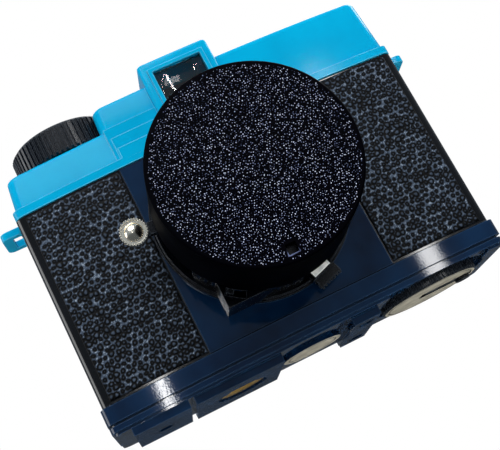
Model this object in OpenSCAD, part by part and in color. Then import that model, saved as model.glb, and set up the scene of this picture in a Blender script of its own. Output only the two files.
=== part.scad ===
// Toy 35 mm film camera with a bowed plastic body, a stepped top cover, a bottom cover with the film
// rewind controls, a focusing lens with a push-on cap, and a back that pulls off for loading film.
// Frame: +Z up from the surface that the ribbed pads stand on, -Y towards the subject, +X to the
// right of somebody who faces the lens. The body sections below are drawn with y = 0 at the middle
// of the body's front face, and place() moves them so that the origin is under the camera's middle.

/* [Body] */
// Width of the body
body_w = 100; // [98:1:102]
// Depth of the body, from the middle of the front face to the back face
body_d = 33; // [33:0.5:35]
// Height of the seam between the body and the top cover
seam_z = 57.1; // [57.1:0.1:58]
// How far the ends of the front face lie behind its middle
front_bow = 3.5; // [2.5:0.1:3.6]
// Radius of the body's upright corners
corner_r = 2.5; // [2:0.1:3]
// Height of the bottom cover's rim
tray_z = 8.4; // [8.2:0.1:8.5]
// Half width of the smooth lens board between the grips
board_x = 23.3; // [22.5:0.1:23.5]

/* [Top cover] */
// Height of the low end of the cover above the seam
low_h = 10.5; // [10.5:0.1:10.8]
// Height of the main part of the cover above the seam
main_h = 16.9; // [16.6:0.1:17.5]
// Height of the viewfinder housing above the seam
finder_h = 21.2; // [20.8:0.1:22]
// Place of the step between the low end and the main part
step_x = -24.1; // [-24.5:0.1:-23.5]
// Half width of the viewfinder housing
finder_x = 9.3; // [9.2:0.1:10]
// Thickness of the cover's walls
cover_wall = 1.6; // [1.4:0.1:1.7]

/* [Lens] */
// Height of the lens axis
lens_z = 35.7; // [35.2:0.1:36]
// Radius of the lens base flange
flange_r = 23.4; // [23.2:0.1:23.6]
// Outer radius of the lens cap
cap_r = 22.95; // [22.9:0.05:23.2]
// Distance of the cap's face in front of the body
cap_front = 28.5; // [28.2:0.1:29]

/* [Controls] */
// Radius of the film advance wheel
wheel_r = 13.3; // [13:0.1:13.4]
// Place of the film advance wheel across the body
wheel_x = -32.1; // [-32.3:0.1:-32]
// Radius of the rewind knob
knob_r = 12.7; // [12.3:0.1:12.8]
// Place of the rewind knob across the body
knob_x = 32.2; // [32:0.1:32.4]
// Radius of the rewind button
button_r = 7.6; // [7.3:0.1:7.7]
// Place of the tripod socket across the body
tripod_x = -19.1; // [-19.3:0.1:-18.9]

/* [Hidden] */

$fn = 96;
teal = "#00a4d4";
black = "#14161c";
back_reach = body_d + 1.5;
front_y = (cap_front - back_reach) / 2;
side_x = body_w / 2;
low_z = seam_z + low_h;
main_z = seam_z + main_h;
finder_z = seam_z + finder_h;
lip_z = seam_z + 2;
axis_y = 16;
base_z = 1.9;
floor_z = 3.9;
chamber_z = 10.7;
roof_z = 55;
film_y = 28.5;
door_y = body_d - 2;
well_r = wheel_r + 0.6;
spool_r = 4.54;
sprocket_r = 4.54;
sprocket_x = -24.6;
sprocket_y = film_y - sprocket_r;
dial_x = -15.6;
dial_y = 22.2;
dial_r = 6.8;
dial_z = 63.2;
barrel_r = 16.95;
hub_r = 17.0;
housing_r = 22.3;
lever_deg = 6.5;
speed_deg = -71.6;
stop_deg = -128;
stop_pin = [-8.6, -8];
blade_pin = [10.5, 6];
cover_bolts = [[-14.5, 9], [14, 9]];
base_bolts = [[-39, 16], [12.6, 7.5], [12.6, 24.5]];
fit = 0.05;

// ---- Shared shapes ----

module place() {
    translate([0, front_y, 0]) children();
}

// Bow of the front face at x
function bow(x) = front_bow * pow(2 * x / body_w, 2);

function arc(cx, cy, r, a0, a1, n = 6) =
    [for (i = [0:n]) let (a = a0 + (a1 - a0) * i / n) [cx + r * cos(a), cy + r * sin(a)]];

// Plan outline from x0 to x1, with a bowed front set back by off and a straight back edge
function plan(x0, x1, off, back, r) = concat(
    arc(x0 + r, bow(x0 + r) + off + r, r, 180, 270),
    [for (i = [1:17]) let (x = x0 + r + (x1 - x0 - 2 * r) * i / 18) [x, bow(x) + off]],
    arc(x1 - r, bow(x1 - r) + off + r, r, 270, 360),
    arc(x1 - r, back - r, r, 0, 90),
    arc(x0 + r, back - r, r, 90, 180));

module slab(x0, x1, off, back, r, z0, z1) {
    translate([0, 0, z0]) linear_extrude(z1 - z0) polygon(plan(x0, x1, off, back, r));
}

// Strip that follows the bowed front between two offsets
module strip(x0, x1, off0, off1, z0, z1) {
    xs = [for (i = [0:24]) x0 + (x1 - x0) * i / 24];
    translate([0, 0, z0]) linear_extrude(z1 - z0) polygon(concat(
        [for (x = xs) [x, bow(x) + off0]],
        [for (i = [24:-1:0]) [xs[i], bow(xs[i]) + off1]]));
}

module bar(lo, hi) {
    translate(lo) cube(hi - lo);
}

// Block with drafted sides and a rounded upper edge
module domed(x0, x1, off, back, z0, z1, draft, r, rc) {
    hull() {
        slab(x0, x1, off, back, rc, z0, z0 + 0.02);
        for (a = [0:18:90]) {
            inset = draft + r * (1 - cos(a));
            top = z1 - r + r * sin(a);
            slab(x0 + inset, x1 - inset, off + inset, back - inset, rc, top - 0.02, top);
        }
    }
}

module upright(x, y, z0, z1, r) {
    translate([x, y, z0]) cylinder(h = z1 - z0, r = r);
}

// Frame on the lens axis: local z runs back along +Y, local x stays on +X, local y points down
module on_axis(y0) {
    translate([0, y0, lens_z]) rotate([-90, 0, 0]) children();
}

module disc_y(y0, y1, r) {
    on_axis(y0) cylinder(h = y1 - y0, r = r);
}

module tube_y(y0, y1, r_out, r_in) {
    difference() {
        disc_y(y0, y1, r_out);
        disc_y(y0 - 1, y1 + 1, r_in);
    }
}

// Radial bar about the lens axis at an angle above +X, seen from the front
module spoke(deg, r0, r1, w, y0, y1) {
    translate([0, 0, lens_z]) rotate([0, -deg, 0]) bar([r0, y0, -w / 2], [r1, y1, w / 2]);
}

// Outline of a round part with flat-topped ribs
function ribs(r, depth, n) =
    [for (i = [0:n - 1], k = [0:3]) let (a = 360 * (i + [0, 0.45, 0.55, 0.9][k]) / n,
        q = k < 2 ? r : r - depth) [q * cos(a), q * sin(a)]];

module helix_rings(x, y, z0, z1, r, wire, turns) {
    for (i = [0:turns - 1]) {
        translate([x, y, z0 + wire + (z1 - z0 - 2 * wire) * i / (turns - 1)])
            rotate_extrude($fn = 48) translate([r, 0]) circle(r = wire, $fn = 16);
    }
}

// ---- Fixed body ----

module main_body() {
    color(black) place() difference() {
        union() {
            difference() {
                union() {
                    slab(-side_x, side_x, 0, door_y - 0.2, corner_r, tray_z + 0.3, seam_z - 0.1);
                    slab(-side_x + 1.1, side_x - 1.1, 1.1, door_y - 0.2, corner_r, floor_z + 0.1, tray_z + 0.4);
                }
                // Film space, open at the back
                bar([-side_x + 2, 10, chamber_z], [side_x - 2, body_d, roof_z]);
                slab(-side_x + 2, side_x - 2, 3, body_d, corner_r, chamber_z, roof_z);
                // Space for the rewind controls under the floor
                slab(-side_x + 2.6, side_x - 2.6, 2.7, door_y - 1.8, corner_r, 0, tray_z + 0.3);
            }
            // Walls of the two film chambers
            bar([-20.8, 2.5, chamber_z - 0.1], [-19.7, 18, roof_z + 0.1]);
            bar([19.7, 2.5, chamber_z - 0.1], [20.9, 28.3, roof_z + 0.1]);
            // Raised roof over the cassette
            bar([19.7, 5.4, roof_z - 0.1], [48, 29.9, 61.2]);
            for (p = cover_bolts) upright(p.x, p.y, roof_z - 0.1, seam_z - 0.1, 3);
            for (p = base_bolts) upright(p.x, p.y, floor_z + 0.1, chamber_z - 0.1, 2.4);
            upright(dial_x, dial_y, seam_z - 0.2, dial_z + 2.3, 1.2);
        }
        bar([20.9, 6.5, roof_z - 1], [46.8, body_d, 59.8]);
        // Seat of the lens board and the hole behind it
        strip(-board_x - fit, board_x + fit, -5, 0.9, tray_z + 0.2, seam_z);
        disc_y(-5, 5, hub_r);
        disc_y(2.95, 5, 18.5);
        // Shaft bearings
        upright(wheel_x, axis_y, roof_z - 1, seam_z + 1, 2 + fit);
        upright(wheel_x, axis_y, chamber_z - 1.4, chamber_z + 1, 1.5 + fit);
        upright(sprocket_x, sprocket_y, roof_z - 1, seam_z + 1, 1.2 + fit);
        upright(sprocket_x, sprocket_y, chamber_z - 1.4, chamber_z + 1, 1.2 + fit);
        upright(knob_x, axis_y, tray_z - 1, chamber_z + 1, 3 + fit);
        for (p = cover_bolts) upright(p.x, p.y, roof_z - 2, seam_z + 1, 1);
        for (p = base_bolts) upright(p.x, p.y, 0, 9, 0.8);
        // Track of the back's lock
        bar([side_x - 1.1, 18.6, 25], [side_x + 1, 27.4, 45]);
    }
}

module lens_board() {
    color(black) place() difference() {
        strip(-board_x, board_x, -0.2, 0.85, tray_z + 0.35, seam_z - 0.15);
        disc_y(-4, 0.4, flange_r + fit);
        disc_y(-4, 4, hub_r + 0.3);
    }
}

module grip(x0, x1) {
    color("#1d232b") place() strip(x0, x1, -0.5, 0, tray_z + 0.8, seam_z - 0.5);
}

module grip_left() { grip(-side_x + 2.4, -board_x - 0.4); }

module grip_right() { grip(board_x + 0.4, side_x - 2.4); }

// Ribbed standing pad with its ribs along X
module pad(x0, x1, y0 = 2.5, y1 = 30.5) {
    bar([x0, y0, 0.7], [x1, y1, base_z + 0.1]);
    for (y = [y0:2:y1 - 0.9]) bar([x0, y, 0], [x1, y + 1, 0.8]);
}

module bottom_cover() {
    color(black) place() difference() {
        union() {
            slab(-side_x, side_x, -0.1, body_d, corner_r, base_z, tray_z);
            slab(-side_x - 0.6, side_x + 0.6, -1, body_d, corner_r, 4.5, tray_z);
            slab(-side_x - 0.45, side_x + 0.45, -0.75, body_d, corner_r, 2.6, 3.9);
            pad(-46, -32.2);
            pad(-30.8, -9);
            pad(8.9, 15.8);
            upright(0, axis_y, floor_z - 0.1, 5.4, 9.6);
        }
        slab(-side_x + 1, side_x - 1, 1, body_d - 1.4, corner_r, 5.4, tray_z + 1);
        difference() {
            slab(-side_x + 1, side_x - 1, 1, body_d - 1.4, corner_r, floor_z, 5.5);
            upright(0, axis_y, 0, 6, 9.6);
        }
        // Well of the rewind knob, open at the front edge
        upright(knob_x, axis_y, 0, 3.2, 15);
        bar([knob_x - 13.5, -2, 0], [knob_x + 13.5, 10, 2.55]);
        upright(knob_x, axis_y, 0, 6, 3 + fit);
        // Rewind button and tripod socket
        upright(0, axis_y, 0, 6, button_r + 0.1);
        upright(0, axis_y, 4.4, 6, button_r + 1);
        upright(tripod_x, axis_y, -1, base_z, 6.4);
        upright(tripod_x, axis_y, 0, 6, 5);
        for (p = base_bolts) {
            upright(p.x, p.y, -1, 2.9, 2);
            upright(p.x, p.y, 0, 6, 1.1);
        }
    }
}

// ---- Top cover ----

module cover_hollow() {
    in = cover_wall;
    // Low end and the space under the wheel
    slab(-side_x + 1 + in, side_x - 1 - in, in, body_d - in - 0.4, 2, seam_z - 1, low_z - in);
    difference() {
        slab(step_x + in + 0.5, side_x - 1.8 - in, in + 0.7, body_d - in - 0.8, 2, low_z - in - 1, main_z - in);
        upright(wheel_x, axis_y, low_z - in, main_z + 1, well_r + 1.2);
    }
    bar([-finder_x + in + 0.2, 1, seam_z + 5], [finder_x - in - 0.2, body_d - in, finder_z - in]);
}

module top_cover() {
    color(teal) place() difference() {
        union() {
            difference() {
                union() {
                    domed(-side_x + 0.7, side_x - 0.7, 0, body_d, lip_z - 1, low_z, 0.9, 1.4, corner_r);
                    domed(step_x, side_x - 0.7, 0, body_d, lip_z - 1, main_z, 0.8, 1.4, corner_r);
                    domed(-finder_x, finder_x, -1.7, body_d, lip_z - 1, finder_z, 0.15, 0.9, 1);
                    slab(-side_x + 0.05, side_x - 0.05, -0.6, body_d, corner_r, seam_z, lip_z);
                    // Shallow ledges beside the finder
                    strip(-22.8, 0, -0.1, 3, lip_z - 0.5, seam_z + 10.4);
                    strip(-21.9, 0, -0.35, 3, lip_z - 0.5, seam_z + 7.6);
                    strip(-21.5, 0, -0.6, 3, lip_z - 0.5, seam_z + 4.65);
                }
                cover_hollow();
            }
            for (p = cover_bolts) upright(p.x, p.y, seam_z, main_z - 1, 2.8);
            upright(wheel_x, axis_y, seam_z + 4, low_z - 0.5, 3.4);
        }
        // Well of the advance wheel and its shaft bearing
        upright(wheel_x, axis_y, low_z, finder_z + 1, well_r);
        upright(wheel_x, axis_y, seam_z, low_z + 1, 2 + fit);
        // Viewfinder windows at the front and the rear
        bar([-7.3, -3, seam_z + 8.4], [7.3, 3, seam_z + 19]);
        bar([-5.6, body_d - 4, seam_z + 9.4], [5.6, body_d + 2, seam_z + 18]);
        upright(-12.8, 23.5, low_z, main_z + 1, 3.2);
        for (p = cover_bolts) upright(p.x, p.y, seam_z - 1, seam_z + 7, 0.8);
        // Seats of the strap lugs
        for (s = [-1, 1]) {
            bar([s * side_x - 2.6, 10.6 - fit, seam_z - 2], [s * side_x + 2.6, 21.5 + fit, seam_z + 1]);
        }
        // Room for the cassette roof and for the edge of the lens flange
        bar([19.5, 5.1, seam_z - 1], [48.2, 30.1, 61.5]);
        disc_y(-5, 0.45, flange_r + fit);
    }
}

// Flat strap loop at each end, held between the body and the cover
module strap_lugs() {
    color(teal) place() for (s = [0, 1]) mirror([s, 0, 0]) difference() {
        union() {
            translate([side_x + 0.1, 10.6, seam_z - 0.95]) linear_extrude(1.9)
                polygon(concat([[0, 10.9], [0, 0]], arc(3.2, 1.8, 1.8, 270, 360), arc(3.2, 9.1, 1.8, 0, 90)));
            bar([side_x - 1.9, 10.6, seam_z - 0.05], [side_x + 2, 21.5, seam_z + 0.95]);
        }
        bar([side_x + 0.35, 12.5, seam_z - 3], [side_x + 2.55, 19.6, seam_z + 3]);
    }
}

module finder_frame() {
    color(teal) place() difference() {
        bar([-7.25, -2.1, seam_z + 8.45], [7.25, 1.4, seam_z + 18.95]);
        bar([-6.2, -4, seam_z + 9.5], [6.2, 3, seam_z + 17.9]);
        bar([-6.65, -0.9, seam_z + 9.05], [6.65, 3, seam_z + 18.35]);
    }
}

// Concave window with a round dished front
module finder_front_lens() {
    color([0.75, 0.85, 0.88, 0.4]) place() difference() {
        bar([-6.6, -0.8, seam_z + 9.1], [6.6, 1.4, seam_z + 18.3]);
        translate([0, -0.81, seam_z + 12.6]) rotate([-90, 0, 0]) {
            cylinder(h = 0.4, r1 = 5.6, r2 = 4.6);
            cylinder(h = 0.8, r1 = 4.9, r2 = 2.6);
        }
    }
}

module finder_mask() {
    color(black) place() difference() {
        bar([-7.4, 14, seam_z + 8], [7.4, 15.2, finder_z - cover_wall - 0.1]);
        bar([-4.6, 13, seam_z + 10.6], [4.6, 16, seam_z + 17]);
    }
}

module finder_rear_lens() {
    color([0.75, 0.85, 0.88, 0.4]) place() intersection() {
        bar([-5.5, body_d - 3, seam_z + 9.5], [5.5, body_d - 1, seam_z + 17.9]);
        translate([0, body_d - 26, seam_z + 13.7]) rotate([90, 0, 0]) sphere(r = 25);
    }
}

module finder_eyepiece() {
    color(black) place() difference() {
        union() {
            bar([-5.55, body_d - 0.9, seam_z + 9.45], [5.55, body_d, seam_z + 17.95]);
            bar([-7, body_d, seam_z + 8], [7, back_reach, seam_z + 19.4]);
        }
        bar([-4.4, body_d - 2, seam_z + 10.6], [4.4, back_reach + 1, seam_z + 16.8]);
    }
}

module counter_window() {
    color([0.8, 0.9, 0.95, 0.4]) place() translate([-12.8, 23.5, 0]) {
        translate([0, 0, low_z - 1.2]) cylinder(h = main_z - low_z + 1, r = 3.15);
        translate([0, 0, main_z - 5.2]) intersection() {
            sphere(r = 6);
            translate([0, 0, 4.9]) cylinder(h = 2, r = 3.15);
        }
    }
}

module screw(x, y, z, head_r, head_h, r, len) {
    translate([x, y, z]) {
        difference() {
            cylinder(h = head_h, r = head_r);
            translate([-0.25, -head_r - 1, -0.1]) cube([0.5, 2 * head_r + 2, 0.5]);
        }
        translate([0, 0, head_h - 0.05]) cylinder(h = len, r = r);
    }
}

module cover_screws() {
    color("silver") place() for (p = cover_bolts) screw(p.x, p.y, roof_z - 1.15, 1.9, 1, 0.8 - fit / 2, 7);
}

module base_screws() {
    color("#2a2c30") place() for (p = base_bolts)
        screw(p.x, p.y, 1.7, 1.9, 1.2, 0.8 - fit / 2, 5.5);
}

module tripod_socket() {
    color("#b08d4a") place() difference() {
        union() {
            upright(tripod_x, axis_y, 0.6, base_z - 0.02, 5.9);
            upright(tripod_x, axis_y, base_z - 0.1, tray_z - 0.2, 4.98);
        }
        upright(tripod_x, axis_y, 0, 7.4, 2.55);
        translate([tripod_x, axis_y, 0.5]) cylinder(h = 0.7, r1 = 3.4, r2 = 2.55);
    }
}

// Stepped black tunnel from the shutter to the film, with two pairs of film rails
module light_baffle() {
    color("#101114") place() difference() {
        union() {
            bar([-19.5, 5.4, lens_z - 14], [19.5, film_y - 0.6, lens_z + 14]);
            for (s = [-1, 1]) {
                bar([-19.5, film_y - 1.4, lens_z + s * 13.2 - 0.7], [19.5, film_y, lens_z + s * 13.2 + 0.7]);
                bar([-19.5, film_y - 1.4, lens_z + s * 18.2 - 0.7], [19.5, film_y + 0.3, lens_z + s * 18.2 + 0.7]);
                bar([-19.5, film_y - 1.6, lens_z + s * 16 - 3], [19.5, film_y - 0.6, lens_z + s * 16 + 3]);
            }
            disc_y(3.65, 5.5, 18.4);
        }
        disc_y(3, 9, 10.5);
        bar([-12.5, 6.4, lens_z - 9.5], [12.5, 14, lens_z + 9.5]);
        bar([-15.5, 13.9, lens_z - 11], [15.5, 21, lens_z + 11]);
        bar([-18, 20.9, lens_z - 12], [18, film_y + 1, lens_z + 12]);
        // Clearance for the blade
        disc_y(3, 5, 16.9);
    }
}

// ---- Lens and shutter ----

module lens_flange() {
    color(black) place() difference() {
        union() {
            disc_y(-0.9, 0.35, flange_r);
            disc_y(-1.5, 0.2, flange_r - 0.6);
        }
        disc_y(-3, 2, barrel_r + 0.01);
    }
}

// Ribbed round case of the shutter with a square block for the aperture lever
module shutter_housing() {
    color(black) place() difference() {
        union() {
            disc_y(-4.3, -1.55, housing_r - 0.3);
            on_axis(-10.7) linear_extrude(6.4) polygon(ribs(housing_r, 0.35, 76));
            disc_y(-10.9, -10.6, housing_r - 0.5);
            bar([-16.4, -10.5, lens_z - 21.8], [1.6, -1.55, lens_z - 6]);
        }
        disc_y(-9.7, -1, housing_r - 1.3);
        bar([-15.8, -9.3, lens_z - 21.3], [0.4, -1, lens_z - 6]);
        disc_y(-12, 0, hub_r + 0.2);
        // Slot of the shutter lever
        bar([-30, -8.6, lens_z - 10.5], [-17, -1, lens_z + 6.2]);
        // Curved slot of the aperture lever
        on_axis(-12) linear_extrude(4) polygon(concat(
            arc(0, 0, 24.6, -stop_deg + 2.4, -stop_deg - 8.4), arc(0, 0, 23, -stop_deg - 8.4, -stop_deg + 2.4)));
        // Notch of the speed lever
        on_axis(-12) linear_extrude(11) polygon(concat(
            arc(0, 0, 26, -speed_deg - 6, -speed_deg + 13.6), arc(0, 0, 19.2, -speed_deg + 13.6, -speed_deg - 6)));
    }
}

module lens_barrel() {
    color(black) place() difference() {
        disc_y(-18, 2.9, barrel_r);
        disc_y(-19, 4, 14.05);
    }
}

module rotate_about_lens(a) {
    translate([0, 0, lens_z]) rotate([0, a, 0]) children();
}

module shutter_plate() {
    color("#2b2d31") place() difference() {
        disc_y(3.1, 3.6, 18.4);
        disc_y(2, 5, 4.2);
        for (p = [blade_pin, stop_pin])
            translate([p.x, 0, lens_z + p.y]) rotate([-90, 0, 0]) cylinder(h = 9, r = 0.7 + fit);
    }
}

module focus_ring() {
    color(black) place() difference() {
        union() {
            disc_y(-26.5, -16.8, 21.4);
            on_axis(-17) linear_extrude(5.8) polygon(ribs(21.3, 0.5, 60));
        }
        disc_y(-24.6, -5, hub_r);
        on_axis(-26.6) cylinder(h = 2.1, r1 = 15.5, r2 = 13);
    }
}

module lens_cell() {
    color("#17181c") place() difference() {
        disc_y(-22.5, -9, 14);
        on_axis(-22.6) cylinder(h = 2.2, r1 = 13, r2 = 10.7);
        disc_y(-21, -16.9, 10.55);
        disc_y(-17, -12, 8.6);
        disc_y(-12.1, -8, 9.55);
    }
}

module lens_retainer() {
    color("#202227") place() tube_y(-20.35, -20, 10.5, 9.6);
}

module front_lens() {
    color([0.55, 0.6, 0.8, 0.4]) place() intersection() {
        disc_y(-19.95, -17.1, 10.5);
        translate([0, 1.4, lens_z]) rotate([90, 0, 0]) sphere(r = 21.4);
    }
}

module rear_lens() {
    color([0.55, 0.6, 0.8, 0.4]) place() intersection() {
        disc_y(-11.95, -9.6, 9.5);
        translate([0, -29.8, lens_z]) rotate([90, 0, 0]) sphere(r = 20.2);
    }
}

module lens_cap() {
    color("#101116") place() difference() {
        union() {
            disc_y(-cap_front + 0.5, -11.3, cap_r);
            on_axis(-cap_front) cylinder(h = 0.5, r1 = cap_r - 0.45, r2 = cap_r);
        }
        disc_y(-27, -11, 21.45);
        // Small square vent near the rim
        bar([-2.9, -cap_front - 1, lens_z - 20.9], [-0.5, -26, lens_z - 18.6]);
    }
}

module shutter_lever() {
    color(black) place() difference() {
        union() {
            disc_y(-8.2, -7.2, 18.9);
            spoke(180 - lever_deg, 17.6, 24.2, 2.9, -8.1, -5.9);
            spoke(180 - lever_deg, 24.1, 26.6, 2.9, -7.68, -5.9);
            lever_post() cylinder(h = 1.7, r = 2.3);
        }
        disc_y(-9, -2, hub_r);
    }
}

// Frame at the lever's finger end, with local z running back along +Y
module lever_post(y0 = -7.7) {
    rotate_about_lens(lever_deg) translate([-27.55, y0, 0]) rotate([-90, 0, 0]) children();
}

module shutter_button() {
    color("#d8d8d6") place() {
        lever_post(-9) difference() {
            linear_extrude(1.28) polygon(ribs(3.25, 0.25, 30));
            translate([0, 0, -0.1]) rotate_extrude() translate([2.15, 0]) square([0.6, 0.35]);
        }
        lever_post(-9) intersection() {
            translate([0, 0, 1.4]) sphere(r = 2.5);
            translate([0, 0, -1.1]) cylinder(h = 1.15, r = 2.15);
        }
    }
}

module shutter_blade() {
    color("#3a3c40") place() translate([blade_pin.x, 0, lens_z + blade_pin.y]) {
        translate([0, 3.7, 0]) rotate([-90, 0, 0]) {
            translate([0, 0, -0.85]) cylinder(h = 1.1, r = 0.7);
            cylinder(h = 0.25, r = 1.6);
            rotate([0, 0, 180 - atan2(blade_pin.y, blade_pin.x)])
                linear_extrude(0.25) polygon(concat([[0, -1], [6, -4.6]], arc(12, 0, 5, -110, 110, 14), [[6, 4.6], [0, 1]]));
        }
    }
}

// Return spring of the shutter lever, laid along the inside of the case
module shutter_spring() {
    color("silver") place() for (a = [60:4:104]) translate([0, 0, lens_z]) rotate([0, -a, 0])
        translate([19.75, -6.4, 0]) rotate_extrude($fn = 32) translate([0.5, 0]) circle(r = 0.14, $fn = 13);
}

module aperture_lever() {
    color(black) place() difference() {
        union() {
            disc_y(-3.9, -3.2, 18.6);
            spoke(stop_deg, 18, 24.4, 1.6, -3.9, -3.2);
            spoke(stop_deg, 23.2, 24.4, 1.6, -11.6, -3.2);
        }
        disc_y(-6, -2, hub_r);
    }
}

// Swinging plate with a large and a small stop opening
module aperture_plate() {
    d = norm(stop_pin);
    start = atan2(-stop_pin.y, -stop_pin.x);
    color("#303236") place() translate([stop_pin.x, 2.4, lens_z + stop_pin.y]) rotate([-90, 0, 0]) difference() {
        union() {
            cylinder(h = 0.3, r = 2);
            cylinder(h = 1.25, r = 0.7);
            linear_extrude(0.3) polygon(concat([[0, 0]], arc(0, 0, d + 3.2, -start - 15, -start + 39, 12)));
        }
        translate([d * cos(start), -d * sin(start), -1]) cylinder(h = 3, r = 2.5);
        translate([d * cos(start - 24), -d * sin(start - 24), -1]) cylinder(h = 3, r = 1.7);
    }
}

module speed_lever() {
    color(black) place() difference() {
        union() {
            disc_y(-2.5, -1.75, 18.6);
            spoke(speed_deg, 18, 21, 3.2, -2.5, -1.75);
            translate([0, 0, lens_z]) rotate([0, -speed_deg, 0]) {
                // Tab with a flat front face, and a serrated edge below it
                bar([20.4, -5.4, -3.1], [23.4, -1.8, 1.8]);
                bar([23.1, -2.8, -3.15], [25.7, -1.75, 3.15]);
                for (i = [-3:3]) bar([25.6, -2.8, i * 0.9 - 0.25], [26.2, -1.75, i * 0.9 + 0.25]);
            }
        }
        disc_y(-6, 0, hub_r);
    }
}

// ---- Film transport ----

module advance_wheel() {
    color(black) place() translate([wheel_x, axis_y, 0]) difference() {
        union() {
            intersection() {
                translate([0, 0, low_z + 0.3]) linear_extrude(7.6) polygon(ribs(wheel_r, 0.55, 60));
                translate([0, 0, low_z + 0.3]) rotate_extrude() polygon([[0, 0], [wheel_r - 0.5, 0],
                    [wheel_r + 0.1, 0.5], [wheel_r + 0.1, 6.4], [wheel_r - 0.9, 7.3], [0, 7.3]]);
            }
            translate([0, 0, roof_z - 0.6]) cylinder(h = low_z - roof_z + 1.2, r = 2);
            // Ratchet under the cover
            translate([0, 0, 58.2]) linear_extrude(1.6) polygon([for (i = [0:11], k = [0:1])
                let (a = 30 * i + (k == 0 ? 0 : 4), r = k == 0 ? 5.2 : 4.2) [r * cos(a), r * sin(a)]]);
        }
        translate([0, 0, low_z + 6.9]) cylinder(h = 2, r = wheel_r - 2.6);
        for (i = [0:7]) rotate([0, 0, 45 * i]) translate([7, 0, low_z + 6.4]) cylinder(h = 2, r = 1);
        translate([-0.7, -3, roof_z - 1]) cube([1.4, 6, 1.4]);
    }
}

module take_up_spool() {
    color("#1b1d22") place() translate([wheel_x, axis_y, 0]) difference() {
        union() {
            translate([0, 0, chamber_z + 0.3]) cylinder(h = roof_z - chamber_z - 1, r = spool_r);
            translate([0, 0, chamber_z - 1.1]) cylinder(h = 2, r = 1.5);
            translate([0, 0, chamber_z + 0.3]) cylinder(h = 1.2, r = 6.2);
            translate([0, 0, roof_z - 1.9]) cylinder(h = 1.2, r = 6.2);
            translate([-0.65, -1.85, roof_z - 1.2]) cube([1.3, 3.7, 1.15]);
        }
        for (a = [0:60:300]) rotate([0, 0, a]) translate([2.4, -0.6, lens_z - 16]) cube([4, 1.2, 32]);
    }
}

module click_pawl() {
    color("silver") place() {
        upright(wheel_x + 9.5, axis_y - 7, seam_z, 59.9, 1);
        translate([wheel_x + 9.5, axis_y - 7, 58.4]) rotate([0, 0, 141]) bar([0, -0.5, 0], [6.4, 0.5, 1.2]);
    }
}

module film_sprocket() {
    color("#e4e2da") place() translate([sprocket_x, sprocket_y, 0]) {
        translate([0, 0, chamber_z - 1.1]) cylinder(h = dial_z - chamber_z + 1.2, r = 1.2);
        translate([0, 0, chamber_z + 3]) cylinder(h = roof_z - chamber_z - 6, r = 3.2);
        for (s = [-1, 1]) translate([0, 0, lens_z + s * 15.6 - 1]) {
            cylinder(h = 2, r = sprocket_r);
            for (a = [0:60:300]) rotate([0, 0, a + 30]) bar([sprocket_r - 0.2, -0.6, 0.4], [sprocket_r + 0.75, 0.6, 1.6]);
        }
        // Single tooth that turns the counter dial
        translate([0, 0, dial_z]) cylinder(h = 2, r = 1.8);
        translate([0, 0, dial_z]) rotate([0, 0, 60]) bar([1, -0.4, 0], [2.25, 0.4, 2]);
    }
}

module counter_dial() {
    color("#eceae2") place() translate([dial_x, dial_y, 0]) difference() {
        union() {
            translate([0, 0, dial_z]) linear_extrude(1.5) polygon(ribs(dial_r, 0.5, 40));
            translate([0, 0, dial_z + 1.4]) cylinder(h = 1, r = dial_r - 0.9);
        }
        translate([0, 0, dial_z - 1]) cylinder(h = 6, r = 1.2 + fit);
        for (i = [0:9]) rotate([0, 0, 36 * i]) bar([4.4, -0.12, dial_z + 2.1], [5.6, 0.12, dial_z + 3]);
    }
}

// ---- Film rewind ----

module rewind_knob() {
    color(black) place() translate([knob_x, axis_y, 0]) difference() {
        union() {
            intersection() {
                translate([0, 0, 0.8]) linear_extrude(2.1) polygon(ribs(knob_r, 0.4, 72));
                translate([0, 0, 0.8]) rotate_extrude() polygon([[0, 0], [knob_r - 0.5, 0],
                    [knob_r + 0.1, 0.6], [knob_r + 0.1, 2.1], [0, 2.1]]);
            }
            translate([0, 0, 2.7]) cylinder(h = 4.2, r = 3);
        }
        // Seat of the folded crank
        bar([-2.6, -2.3, 0], [10.6, 2.3, 2.2]);
        translate([9, 0, -1]) cylinder(h = 3.2, r = 2.6);
        translate([0, 4, 1.45]) rotate([90, 0, 0]) cylinder(h = 8, r = 0.5 + fit);
        translate([0, 0, 5.9]) cylinder(h = 2, r = 1.6);
        difference() {
            translate([0, 0, 0.7]) cylinder(h = 0.4, r = knob_r - 1.3);
            translate([0, 0, 0.6]) cylinder(h = 0.6, r = knob_r - 1.7);
        }
    }
}

module rewind_fork() {
    color("silver") place() translate([knob_x, axis_y, 0]) {
        translate([0, 0, 5.95]) cylinder(h = 9, r = 1.55);
        translate([0, 0, 7.2]) cylinder(h = 4.8, r = 3);
        bar([-3, -0.5, 11.9], [3, 0.5, 15.6]);
    }
}

module rewind_crank() {
    color("#26282d") place() translate([knob_x, axis_y, 0]) {
        difference() {
            union() {
                bar([0, -1.9, 0.95], [9, 1.9, 1.95]);
                translate([9, 0, 0.95]) cylinder(h = 1, r = 2.2);
                translate([0, 1.9, 1.45]) rotate([90, 0, 0]) cylinder(h = 3.8, r = 0.5);
            }
            bar([2.2, -0.9, 0], [6.4, 0.9, 3]);
        }
        translate([0, 3.6, 1.45]) rotate([90, 0, 0]) cylinder(h = 7.2, r = 0.5);
    }
}

module crank_grip() {
    color(black) place() translate([knob_x + 9, axis_y, 0]) difference() {
        cylinder(h = 0.94, r = 1.9);
        translate([0, 0, -0.1]) cylinder(h = 0.4, r = 1.2);
    }
}

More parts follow.
